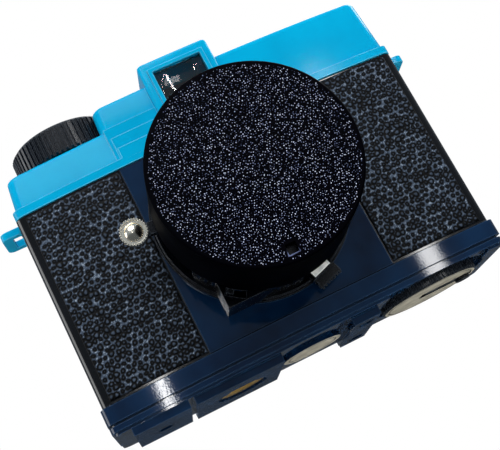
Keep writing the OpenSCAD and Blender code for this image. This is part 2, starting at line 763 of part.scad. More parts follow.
module rewind_button() {
    color(black) place() translate([0, axis_y, 0]) difference() {
        union() {
            translate([0, 0, 1.1]) cylinder(h = 4.4, r = button_r);
            translate([0, 0, 4.5]) cylinder(h = 0.8, r = button_r + 0.8);
        }
        translate([0, 0, 1]) difference() {
            cylinder(h = 0.4, r = button_r - 1.2);
            translate([0, 0, -1]) cylinder(h = 2, r = button_r - 1.6);
        }
        translate([0, 0, 4.2]) cylinder(h = 2, r = 3.4);
    }
}

module button_spring() {
    color("silver") place() helix_rings(0, axis_y, 4.2, tray_z + 0.3, 2.4, 0.3, 5);
}

// ---- Removable back ----

module back_cover() {
    color(black) place() difference() {
        union() {
            intersection() {
                slab(-side_x, side_x, 0, body_d, corner_r, tray_z + 0.4, seam_z - 0.3);
                bar([-side_x - 1, door_y, 0], [side_x + 1, body_d + 1, seam_z]);
            }
            difference() {
                bar([-side_x + 2.3, door_y - 2, chamber_z + 0.3], [side_x - 2.3, door_y + 0.1, roof_z - 0.3]);
                bar([-side_x + 3.4, door_y - 3, chamber_z + 1.4], [side_x - 3.4, door_y, roof_z - 1.4]);
            }
        }
        // Pockets for the pressure springs
        for (s = [-1, 1]) bar([-3.7, door_y - 1, lens_z + s * 6 - 2], [3.7, door_y + 0.9, lens_z + s * 6 + 2]);
        // Grip flutes at the pulling end
        for (z = [24:3:45]) bar([side_x - 9, body_d - 0.4, z], [side_x - 4, body_d + 1, z + 1.4]);
    }
}

module back_skin() {
    color("#1d232b") place() bar([-side_x + 3, body_d, tray_z + 3], [side_x - 11, body_d + 0.45, seam_z - 3]);
}

module back_seal() {
    color("#202020") place() for (s = [-1, 1])
        bar([s * 30 - 6, door_y - 1.5, roof_z - 2.4], [s * 30 + 6, door_y, roof_z - 1.45]);
}

module back_lock() {
    color(black) place() {
        bar([side_x - 1, 19, 27], [side_x, 27, 38]);
        for (z = [29:1.8:36]) bar([side_x - 0.1, 20, z], [side_x + 0.5, 26, z + 0.8]);
    }
}

module pressure_plate() {
    color("#33363c") place() difference() {
        bar([-22, film_y + 0.7, lens_z - 15], [22, film_y + 1.3, lens_z + 15]);
        for (x = [-14, 14]) translate([x, film_y, lens_z]) rotate([-90, 0, 0]) cylinder(h = 3, r = 1.2);
    }
}

// Two bowed leaves that push the plate towards the film
module pressure_spring() {
    color("silver") place() for (s = [-1, 1]) {
        bar([-11, film_y + 1.35, lens_z + s * 6 - 1.5], [-3, film_y + 1.6, lens_z + s * 6 + 1.5]);
        bar([-3.2, film_y + 1.35, lens_z + s * 6 - 1.5], [3.2, door_y - 0.02, lens_z + s * 6 + 1.5]);
        bar([3, film_y + 1.35, lens_z + s * 6 - 1.5], [11, film_y + 1.6, lens_z + s * 6 + 1.5]);
    }
}

main_body();
lens_board();
grip_left();
grip_right();
bottom_cover();
top_cover();
strap_lugs();
finder_frame();
finder_front_lens();
finder_mask();
finder_rear_lens();
finder_eyepiece();
counter_window();
cover_screws();
base_screws();
tripod_socket();
light_baffle();
lens_flange();
shutter_housing();
lens_barrel();
shutter_plate();
focus_ring();
lens_cell();
front_lens();
rear_lens();
lens_retainer();
lens_cap();
shutter_lever();
shutter_button();
shutter_blade();
shutter_spring();
aperture_lever();
aperture_plate();
speed_lever();
advance_wheel();
take_up_spool();
click_pawl();
film_sprocket();
counter_dial();
rewind_knob();
rewind_fork();
rewind_crank();
crank_grip();
rewind_button();
button_spring();
back_cover();
back_skin();
back_seal();
back_lock();
pressure_plate();
pressure_spring();
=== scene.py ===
"""Looks of a toy 35 mm film camera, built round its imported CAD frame.

Lengths are in millimetres and mm() turns them to metres, except in SoftBox and Studio, which use metres.
"""

import logging
import math
from dataclasses import dataclass
from enum import Enum
from typing import Any, Callable, Iterable, Sequence

import bmesh
import bpy
import numpy as np
from mathutils import Matrix, Vector
from mathutils.geometry import delaunay_2d_cdt


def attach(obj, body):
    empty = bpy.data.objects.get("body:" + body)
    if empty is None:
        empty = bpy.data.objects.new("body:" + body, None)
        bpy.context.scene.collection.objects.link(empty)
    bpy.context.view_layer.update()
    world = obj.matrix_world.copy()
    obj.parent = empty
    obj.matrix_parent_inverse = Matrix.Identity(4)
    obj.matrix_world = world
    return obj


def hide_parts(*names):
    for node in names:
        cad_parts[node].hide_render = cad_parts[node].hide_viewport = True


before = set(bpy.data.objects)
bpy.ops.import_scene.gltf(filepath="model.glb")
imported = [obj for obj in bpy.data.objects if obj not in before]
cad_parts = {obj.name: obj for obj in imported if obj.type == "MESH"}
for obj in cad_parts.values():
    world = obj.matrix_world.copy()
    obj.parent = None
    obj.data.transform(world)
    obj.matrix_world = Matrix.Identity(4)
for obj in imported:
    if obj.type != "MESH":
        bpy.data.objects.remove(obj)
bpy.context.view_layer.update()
LOG = logging.getLogger("camera")
FRONT_Y = -3.0  # the body's front face lies here in the row frame
LENS_Z = 35.7
HALF_WIDTH = 50.0
BOW = 3.5
CLOUD_DETAIL = 3.0
CLOUD_FROM, CLOUD_TO = 0.35, 0.7  # part of the slow noise over which a finish changes colour
GRAIN_DETAIL = 2.0
TURNED_STRETCH = (1.0, 9.0, 9.0)
# Pale outer edges: partly a painted edge highlight, partly rubbed wear.
EDGE_WEAR_AND_HIGHLIGHT_RADIUS = 0.35
EDGE_WEAR_AND_HIGHLIGHT_FROM, EDGE_WEAR_AND_HIGHLIGHT_FULL = 0.995, 0.85  # cosine between the flat and the rounded normal
EDGE_WEAR_AND_HIGHLIGHT_STRENGTH = 1.1


def mm(value: float) -> float:
    """Millimetres to metres."""
    return value / 1000.0


def linear(hex_colour: str, alpha: float = 1.0) -> tuple[float, float, float, float]:
    """Turns an sRGB hex colour to a linear one.

    Args:
        hex_colour: six hex digits after a hash sign.
        alpha: opacity that goes with the colour.

    Returns:
        Linear red, green, blue and alpha.
    """
    parts = [int(hex_colour[i : i + 2], 16) / 255 for i in (1, 3, 5)]
    red, green, blue = (p / 12.92 if p <= 0.04045 else ((p + 0.055) / 1.055) ** 2.4 for p in parts)
    return red, green, blue, alpha


def add(
    tree: bpy.types.NodeTree, kind: str, settings: dict[str, Any], links: dict[str, Any]
) -> bpy.types.Node:
    """Adds a shader node.

    Args:
        tree: node tree that takes the node.
        kind: Blender's type name without its ShaderNode prefix.
        settings: node properties, and socket values under "in:" and the socket's name or number.
        links: socket name or number of the new node, to the output socket that feeds it.

    Returns:
        The new node.
    """
    node = tree.nodes.new("ShaderNode" + kind)
    for key, value in settings.items():
        if key.startswith("in:"):
            name = key[3:]
            node.inputs[int(name) if name.isdigit() else name].default_value = value
        else:
            setattr(node, key, value)
    for key, source in links.items():
        tree.links.new(source, node.inputs[int(key) if key.isdigit() else key])
    return node


class Grain(Enum):
    """How the surface of a finish is broken up."""

    MOULDED = "moulded"
    TURNED = "turned"


@dataclass(frozen=True)
class Finish:
    """A finish with slow colour change, fine grain in its gloss and a small bump.

    The grain sizes are the real ones in millimetres, except that mould texture under 0.3 mm is drawn
    at 0.3 mm, so that it shows at all.
    """

    name: str
    colour: str
    shade: str
    roughness: float = 0.25
    rough_spread: float = 0.08
    metallic: float = 0.0
    specular: float = 0.5
    grain_mm: float = 0.4
    bump_mm: float = 0.004
    cloud_mm: float = 14.0
    grain: Grain = Grain.MOULDED
    # colour of the pale edges: painted highlight as well as wear
    edge_wear_and_highlight: str | None = None
    clear: float = 0.0

    def build(self) -> bpy.types.Material:
        """Makes the Blender material.

        Returns:
            The material, with its colour, gloss and bump driven by object-space noise.
        """
        material = bpy.data.materials.new(self.name)
        material.use_nodes = True
        tree = material.node_tree
        tree.nodes.clear()
        place = add(tree, "TexCoord", {}, {}).outputs["Object"]
        scale = TURNED_STRETCH if self.grain is Grain.TURNED else (1.0, 1.0, 1.0)
        stretched = add(tree, "Mapping", {"in:Scale": scale}, {"Vector": place}).outputs[0]
        slow = {"in:Scale": 1 / mm(self.cloud_mm), "in:Detail": CLOUD_DETAIL}
        fine = {"in:Scale": 1 / mm(self.grain_mm), "in:Detail": GRAIN_DETAIL}
        cloud = add(tree, "TexNoise", slow, {"Vector": place})
        grain = add(tree, "TexNoise", fine, {"Vector": stretched})
        tone = add(tree, "ValToRGB", {}, {"0": cloud.outputs[0]})
        low, high = tone.color_ramp.elements
        low.position, high.position = CLOUD_FROM, CLOUD_TO
        low.color, high.color = linear(self.shade), linear(self.colour)
        colour = tone.outputs[0]
        # pale edges: painted highlight as well as wear
        if self.edge_wear_and_highlight:
            colour = self._edge_wear_and_highlight(tree, colour, grain.outputs[0])
        gloss = add(
            tree,
            "MapRange",
            {"in:3": self.roughness - self.rough_spread / 2, "in:4": self.roughness + self.rough_spread},
            {"0": grain.outputs[0]},
        )
        depth = {"in:Strength": 1.0, "in:Distance": mm(self.bump_mm)}
        bump = add(tree, "Bump", depth, {"Height": grain.outputs[0]})
        shader = add(
            tree,
            "BsdfPrincipled",
            {
                "in:Metallic": self.metallic,
                "in:Specular IOR Level": self.specular,
                "in:Transmission Weight": self.clear,
            },
            {"Base Color": colour, "Roughness": gloss.outputs[0], "Normal": bump.outputs[0]},
        )
        add(tree, "OutputMaterial", {}, {"Surface": shader.outputs[0]})
        return material

    def _edge_wear_and_highlight(self, tree: bpy.types.NodeTree, colour: Any, grain: Any) -> Any:
        """Lightens the outer edges: a painted highlight along them, and the rub of handling that polishes
        them.

        Args:
            tree: the material's node tree.
            colour: output socket of the colour so far.
            grain: output socket of the fine noise that breaks the wear and the painted highlight up.

        Returns:
            The output socket of the colour with worn and painted-highlit edges.
        """
        round_normal = add(tree, "Bevel", {"samples": 4, "in:Radius": mm(EDGE_WEAR_AND_HIGHLIGHT_RADIUS)}, {}).outputs[0]
        flat_normal = add(tree, "NewGeometry", {}, {}).outputs["Normal"]
        facing = add(tree, "VectorMath", {"operation": "DOT_PRODUCT"}, {"0": round_normal, "1": flat_normal})
        span = {"in:1": EDGE_WEAR_AND_HIGHLIGHT_FROM, "in:2": EDGE_WEAR_AND_HIGHLIGHT_FULL, "in:3": 0.0, "in:4": EDGE_WEAR_AND_HIGHLIGHT_STRENGTH}
        edge = add(tree, "MapRange", span, {"0": facing.outputs[1]})
        broken = add(tree, "Math", {"operation": "MULTIPLY"}, {"0": edge.outputs[0], "1": grain})
        # the edge colour is painted highlight as well as wear
        rubbed_and_highlit = {"data_type": "RGBA", "in:7": linear(self.edge_wear_and_highlight)}
        return add(tree, "Mix", rubbed_and_highlit, {"0": broken.outputs[0], "6": colour}).outputs[2]


@dataclass(frozen=True)
class SpeckledFinish(Finish):
    """A finish whose colour follows a shade stored on the mesh, from painted shade in its grooves to painted
    highlights on its tips.
    """

    mid: str = "#2b3138"
    tip: str = "#8c959f"
    dark_to: float = 0.1
    mid_at: float = 0.45
    tip_at: float = 1.0

    def build(self) -> bpy.types.Material:
        """Makes the material, with the stored shade as its colour.

        Returns:
            The material.
        """
        material = super().build()
        tree = material.node_tree
        shader = next(n for n in tree.nodes if n.type == "BSDF_PRINCIPLED")
        stored = add(tree, "Attribute", {"attribute_name": "shade"}, {}).outputs["Fac"]
        ramp = add(tree, "ValToRGB", {}, {"0": stored})
        stops = ramp.color_ramp.elements
        stops[0].color, stops[1].color = linear(self.shade), linear(self.tip)
        stops[0].position = self.dark_to
        stops[1].position = self.tip_at
        stops.new(self.mid_at).color = linear(self.mid)
        tree.links.new(ramp.outputs[0], shader.inputs["Base Color"])
        return material


# ABS, injection moulded in a polished tool: bright and even, with a faint gloss, and pale edges that are
# painted highlight as well as wear.
TEAL_ABS = Finish(
    "teal_abs_moulded", "#00a6d4", "#009cca", 0.12, 0.04, specular=0.09, edge_wear_and_highlight="#8fe0f6",
)
# Polystyrene in a polished tool: near black, with a navy tint that is a painted reflection of a blue sky,
# and glossy enough to mirror a window. Its pale edges are painted highlight as well as wear.
BLACK_STYRENE = Finish(
    "black_styrene_polished", "#082442", "#03132a", 0.04, 0.03, specular=0.34, edge_wear_and_highlight="#3a5578",
)
# Black ABS of the lens head: no blue in it, and glossy; its pale edges are painted highlight as well as
# wear.
BLACK_ABS = Finish("black_abs_polished", "#04050a", "#010204", 0.1, 0.05, specular=0.45, edge_wear_and_highlight="#4a4f58")
# The same black on parts that fingers turn: handling has dulled the gloss, and the greyed edges are painted
# highlight as well as wear.
BLACK_HANDLED = Finish(
    "black_styrene_handled", "#070b13", "#020409", 0.24, 0.1, specular=0.32, edge_wear_and_highlight="#4c5561",
)
# Embossed vinyl: a dull blue-grey ground with pale specks, grooves blackened by painted shade, and darker
# pebbles with a painted glint.
VINYL_SKIN = SpeckledFinish(
    "embossed_vinyl_skin", "#20262d", "#010204", 0.5, 0.14, specular=0.12, grain_mm=0.3, bump_mm=0.02,
    mid="#3b4758", tip="#a8b6c8", dark_to=0.14,
)
# Spark-eroded polystyrene on the cap's face: black between a dense scatter of raised tips, each with a
# painted highlight.
SPARK_ERODED = SpeckledFinish(
    "spark_eroded_styrene", "#03040b", "#000004", 0.5, 0.1, specular=0.02, grain_mm=0.3, bump_mm=0.008,
    mid="#6c77a0", tip="#f6f8ff", dark_to=0.27, mid_at=0.46, tip_at=0.8,
)
# Dark polystyrene inside, left matt by its tool so that it throws no light at the film.
BLACK_MATT = Finish("black_styrene_matt", "#15161a", "#0d0e11", 0.75, 0.12, specular=0.25, grain_mm=0.3)
# Chrome plate over zinc: bright and slightly warm, with a soft edge to what it mirrors.
CHROME = Finish("chrome_plated_zinc", "#fff8e8", "#f4ead2", 0.2, 0.08, metallic=1.0, bump_mm=0.001)
# Turned brass insert: dull gold with fine tool streaks, half diffuse because it has tarnished. Its pale
# edges are painted highlight as well as wear.
BRASS = Finish(
    "turned_brass", "#b99a55", "#8d7036", 0.35, 0.12, metallic=0.5, grain=Grain.TURNED, edge_wear_and_highlight="#e0c98c",
)
# Painted reflection of the pale floor on the flat ends of the glossy black rewind knob and button: satin
# grey and a little warm.
PAINTED_FLOOR_REFLECTION = Finish(
    "painted_floor_reflection", "#b3ae9f", "#8d897c", 0.42, 0.2, specular=0.5, grain_mm=0.5, cloud_mm=3.0,
)
# Zinc-plated spring steel: grey, softly bright.
STEEL = Finish("zinc_plated_steel", "#a9adb1", "#8a8e93", 0.32, 0.12, metallic=1.0)
# White foil pressed on hot: bright, with the faint mottle of its backing.
WHITE_FOIL = Finish(
    "white_hot_foil", "#f7f8f8", "#d5dadd", 0.35, 0.1, grain_mm=0.3, bump_mm=0.01, cloud_mm=1.2,
)
# Acetal wheels: milky white with a waxy shine.
ACETAL = Finish("white_acetal", "#e9e7df", "#dad8cf", 0.4, 0.1)
# Polystyrene windows: water clear with faint moulding waves.
CLEAR_STYRENE = Finish(
    "clear_styrene", "#eef6f8", "#e3eef2", 0.02, 0.01, clear=1.0, grain_mm=4.0, bump_mm=0.002, cloud_mm=5,
)
# Urethane foam strips: dead black, with open cells.
FOAM = Finish("black_foam", "#101112", "#050506", 0.95, 0.04, specular=0.1, grain_mm=0.5, bump_mm=0.08)

# Matt studio paper under the camera: a warm white with no shine.
PALE_PAPER = Finish(
    "pale_paper", "#f6f2ea", "#f0ece3", 0.9, 0.05, specular=0.2, grain_mm=2.0, cloud_mm=300.0,
)


@dataclass
class Dresser:
    """Gives CAD nodes and new pieces their finishes and their broken edges."""

    edge_angle_deg: float = 32.0
    weld_mm: float = 0.002
    down: float = -0.95

    def __post_init__(self) -> None:
        """Starts with no material made."""
        self._made: dict[str, bpy.types.Material] = {}

    def material(self, finish: Finish) -> bpy.types.Material:
        """The material of a finish, made once."""
        if finish.name not in self._made:
            self._made[finish.name] = finish.build()
        return self._made[finish.name]

    def dress(self, node: str, finish: Finish, edge: float = 0.0, steps: int = 2) -> None:
        """Finishes a CAD node.

        Args:
            node: name of the node.
            finish: its finish.
            edge: width of the broken edges in millimetres, or 0 to leave them sharp.
            steps: segments across a broken edge.
        """
        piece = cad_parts[node]
        piece.data.materials.clear()
        piece.data.materials.append(self.material(finish))
        if edge > 0:
            self.break_edges(piece, edge, steps)
        LOG.info("dressed %s in %s", node, finish.name)

    def face_end(self, node: str, finish: Finish, deepest: float) -> None:
        """Finishes the faces of a CAD node that look straight down.

        Args:
            node: name of the node.
            finish: their finish.
            deepest: how far above the node's lowest point they may lie in millimetres.
        """
        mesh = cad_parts[node].data
        mesh.materials.append(self.material(finish))
        low = min(v.co.z for v in mesh.vertices)
        for polygon in mesh.polygons:
            if polygon.normal.z < self.down and polygon.center.z < low + mm(deepest):
                polygon.material_index = 1

    def break_edges(self, piece: bpy.types.Object, edge: float, steps: int) -> None:
        """Welds a mesh and rounds its edges with modifiers.

        Args:
            piece: object to change.
            edge: width of the rounding in millimetres.
            steps: segments across it.
        """
        mesh = piece.data
        for name in ("custom_normal", "sharp_edge", "sharp_face"):
            layer = mesh.attributes.get(name)
            if layer:
                mesh.attributes.remove(layer)
        mesh.polygons.foreach_set("use_smooth", [True] * len(mesh.polygons))
        weld = piece.modifiers.new("weld", "WELD")
        weld.merge_threshold = mm(self.weld_mm)
        bevel = piece.modifiers.new("edges", "BEVEL")
        bevel.width, bevel.segments = mm(edge), steps
        bevel.limit_method, bevel.angle_limit = "ANGLE", math.radians(self.edge_angle_deg)
        bevel.harden_normals = True
        bevel.miter_outer = "MITER_ARC"

    def piece(
        self,
        name: str,
        mesh: bpy.types.Mesh,
        finish: Finish,
        body: str,
        slot: str,
        replaced: Sequence[str] = (),
    ) -> None:
        """Adds a new mesh as a piece of the camera.

        Args:
            name: the piece's name.
            mesh: its mesh in the row frame, in metres.
            finish: its finish.
            body: the CAD body it rides.
            slot: the record's material slot; not used.
            replaced: CAD nodes that it stands for.
        """
        mesh.materials.append(self.material(finish))
        made = bpy.data.objects.new(name, mesh)
        bpy.context.scene.collection.objects.link(made)
        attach(made, body)
        if replaced:
            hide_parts(*replaced)
        LOG.info("built %s with %d faces", name, len(mesh.polygons))


def make_mesh(
    name: str, points: Iterable[Sequence[float]], faces: Iterable[Sequence[int]], smooth: bool = True
) -> bpy.types.Mesh:
    """Makes a mesh with its faces turned outwards.

    Args:
        name: the mesh's name.
        points: corners in metres.
        faces: corner numbers of each face.
        smooth: whether faces are shaded smooth.

    Returns:
        The mesh.
    """
    mesh = bpy.data.meshes.new(name)
    mesh.from_pydata([tuple(p) for p in points], [], [tuple(int(i) for i in f) for f in faces])
    mesh.validate()
    work = bmesh.new()
    work.from_mesh(mesh)
    bmesh.ops.recalc_face_normals(work, faces=work.faces)
    work.to_mesh(mesh)
    work.free()
    mesh.polygons.foreach_set("use_smooth", [smooth] * len(mesh.polygons))
    return mesh


def store_shade(mesh: bpy.types.Mesh, values: Sequence[float]) -> None:
    """Stores one shade per mesh corner point for a speckled finish, with its painted shade and highlights.
    """
    layer = mesh.attributes.new("shade", "FLOAT", "POINT")
    layer.data.foreach_set("value", np.asarray(values, np.float32))


@dataclass
class PebbledSkin:
    """Embossed vinyl on the front grips and the back.

    Each pebble is a low oval, 0.6 to 1.7 mm across, inside a closed groove. Shades run from 0 in a groove,
    darkened by painted shade, to 1 on the brightest speck, and each pebble carries a painted glint.
    """

    pitch: float = 1.42
    jitter: float = 0.17
    small: float = 0.3
    large: float = 0.62
    groove: float = 0.21
    height: float = 0.24
    step: float = 0.2
    thickness: float = 0.5
    size_power: float = 1.8
    most_oval: float = 1.4
    least_glow: float = 0.45
    lobes: int = 3
    wave: float = 0.07
    ground_height: float = 0.72
    ground_shade: float = 0.44
    sparkle_shade: float = 0.5
    sparkle_power: int = 5
    pebble_shade: float = 0.22
    glint_shade: float = 0.26
    glint_width: float = 0.3
    groove_painted_shade: float = 1.15
    border: float = 0.5
    border_drop: float = 0.12
    border_painted_shade: float = 0.3
    glue_gap: float = 0.01

    def relief(self, across: np.ndarray, up: np.ndarray, seed: int) -> tuple[np.ndarray, np.ndarray]:
        """Height and shade of the embossing.

        Args:
            across: points across the skin in millimetres.
            up: points up the skin in millimetres.
            seed: seed of the scatter.

        Returns:
            Heights from 0 to 1, and shades from 0 to 1 with painted shade in the grooves and painted glints
            on the pebbles.
        """
        rng = np.random.RandomState(seed)
        spare = 2  # cells past each edge, so that every point has neighbours
        columns = int(np.ptp(across) / self.pitch) + 2 * spare + 1
        rows = int(np.ptp(up) / self.pitch) + 2 * spare + 1
        u = (across - across.min()) / self.pitch + spare
        v = (up - up.min()) / self.pitch + spare
        shift = rng.uniform(-self.jitter, self.jitter, (rows, columns, 2))
        share = rng.uniform(0, 1, (rows, columns)) ** self.size_power
        radius = self.small + (self.large - self.small) * share
        turn = rng.uniform(0, math.pi, (rows, columns))
        oval = rng.uniform(1.0, self.most_oval, (rows, columns))
        glow = rng.uniform(self.least_glow, 1.0, (rows, columns))
        lobe_turn = rng.uniform(0, 2 * math.pi, (rows, columns))
        rim = np.full(across.shape, np.inf)
        glint = np.zeros(across.shape)
        for down in (-1, 0, 1):
            for side in (-1, 0, 1):
                j = np.clip(np.floor(v).astype(int) + down, 0, rows - 1)
                i = np.clip(np.floor(u).astype(int) + side, 0, columns - 1)
                stagger = 0.5 * (j % 2) - 0.25  # odd rows lie half a cell along
                dx = (u - (i + 0.5 + stagger + shift[j, i, 0])) * self.pitch
                dy = (v - (j + 0.5 + shift[j, i, 1])) * self.pitch
                c, s = np.cos(turn[j, i]), np.sin(turn[j, i])
                reach = np.hypot((dx * c + dy * s) / oval[j, i], -dx * s + dy * c)
                wave = self.wave * np.cos(self.lobes * np.arctan2(dy, dx) + lobe_turn[j, i])
                past = reach - radius[j, i] * (1 + wave)
                nearer = past < rim
                rim = np.where(nearer, past, rim)
                glint = np.where(nearer, glow[j, i], glint)
        groove = np.exp(-((rim / self.groove) ** 2))
        dome = np.clip(-rim / self.large, 0, 1)
        height = self.ground_height * (1 - groove) + (1 - self.ground_height) * np.sqrt(dome)
        height = np.clip(height, 0, 1)
        sparkle = rng.uniform(0, 1, across.shape) ** self.sparkle_power
        ground = self.ground_shade + self.sparkle_shade * sparkle
        # painted glint: each pebble lighter towards its middle, by a random amount
        pebble = self.pebble_shade + self.glint_shade * glint * np.clip(-rim / self.glint_width, 0, 1)
        field = np.where(rim > 0, ground, pebble)
        # painted shade blackens the grooves
        return height, np.clip(field * (1 - self.groove_painted_shade * groove), 0, 1)

    def strip(self, name: str, x0: float, x1: float, z0: float, z1: float, seed: int) -> bpy.types.Mesh:
        """Skin that follows the bowed front of the body.

        Args:
            name: the mesh's name.
            x0: left edge.
            x1: right edge.
            z0: lower edge.
            z1: upper edge.
            seed: seed of the scatter.

        Returns:
            The mesh.
        """

        def bowed(x: np.ndarray) -> np.ndarray:
            """The front face's y at x."""
            return BOW * (x / HALF_WIDTH) ** 2 + FRONT_Y

        return self._sheet(name, x0, x1, z0, z1, seed, bowed, -1.0)

    def panel(
        self, name: str, x0: float, x1: float, z0: float, z1: float, y: float, seed: int
    ) -> bpy.types.Mesh:
        """Skin on the flat back.

        Args:
            name: the mesh's name.
            x0: left edge.
            x1: right edge.
            z0: lower edge.
            z1: upper edge.
            y: place of the face that it is glued to.
            seed: seed of the scatter.

        Returns:
            The mesh.
        """
        return self._sheet(name, x0, x1, z0, z1, seed, lambda x: np.full_like(x, y), 1.0)

    def _sheet(
        self,
        name: str,
        x0: float,
        x1: float,
        z0: float,
        z1: float,
        seed: int,
        base: Callable[[np.ndarray], np.ndarray],
        out: float,
    ) -> bpy.types.Mesh:
        """Closed sheet with the relief on its outer side.

        Args:
            name: the mesh's name.
            x0: left edge.
            x1: right edge.
            z0: lower edge.
            z1: upper edge.
            seed: seed of the scatter.
            base: gives y of the glued side at x.
            out: +1 if the outer side faces +Y, else -1.

        Returns:
            The mesh.
        """
        nx, nz = int((x1 - x0) / self.step), int((z1 - z0) / self.step)
        gx, gz = np.meshgrid(np.linspace(x0, x1, nx + 1), np.linspace(z0, z1, nz + 1))
        height, shade = self.relief(gx, gz, seed)
        rim = np.minimum(np.minimum(gx - x0, x1 - gx), np.minimum(gz - z0, z1 - gz))
        rim = np.clip(rim / self.border, 0, 1)
        lift = self.thickness - self.height + self.height * height * rim
        lift -= self.border_drop * (1 - rim) ** 2
        y = base(gx) + out * lift
        outer = np.stack([gx, y, gz], -1).reshape(-1, 3)
        inner = np.stack([gx, base(gx) + out * self.glue_gap, gz], -1).reshape(-1, 3)
        count = len(outer)
        index = np.arange(count).reshape(nz + 1, nx + 1)
        quads = np.stack([index[:-1, :-1], index[:-1, 1:], index[1:, 1:], index[1:, :-1]], -1).reshape(-1, 4)
        loop = np.concatenate([index[0, :], index[1:, -1], index[-1, -2::-1], index[-2:0:-1, 0]])
        after = np.roll(loop, -1)
        sides = np.stack([loop, after, after + count, loop + count], -1)
        points = np.concatenate([outer, inner])
        used = np.unique(loop + count)
        faces = [*quads.tolist(), *sides.tolist(), (loop[::-1] + count).tolist()]
        keep = np.concatenate([np.arange(count), used])
        renumber = {int(old): new for new, old in enumerate(keep)}
        faces = [[renumber[i] for i in f] for f in faces]
        mesh = make_mesh(name, points[keep] / 1000, faces)
        # painted shade: the skin darkens towards its edges, where it drops to the body
        shade *= self.border_painted_shade + (1 - self.border_painted_shade) * rim
        store_shade(mesh, np.concatenate([shade.ravel(), np.zeros(len(used))]))
        return mesh


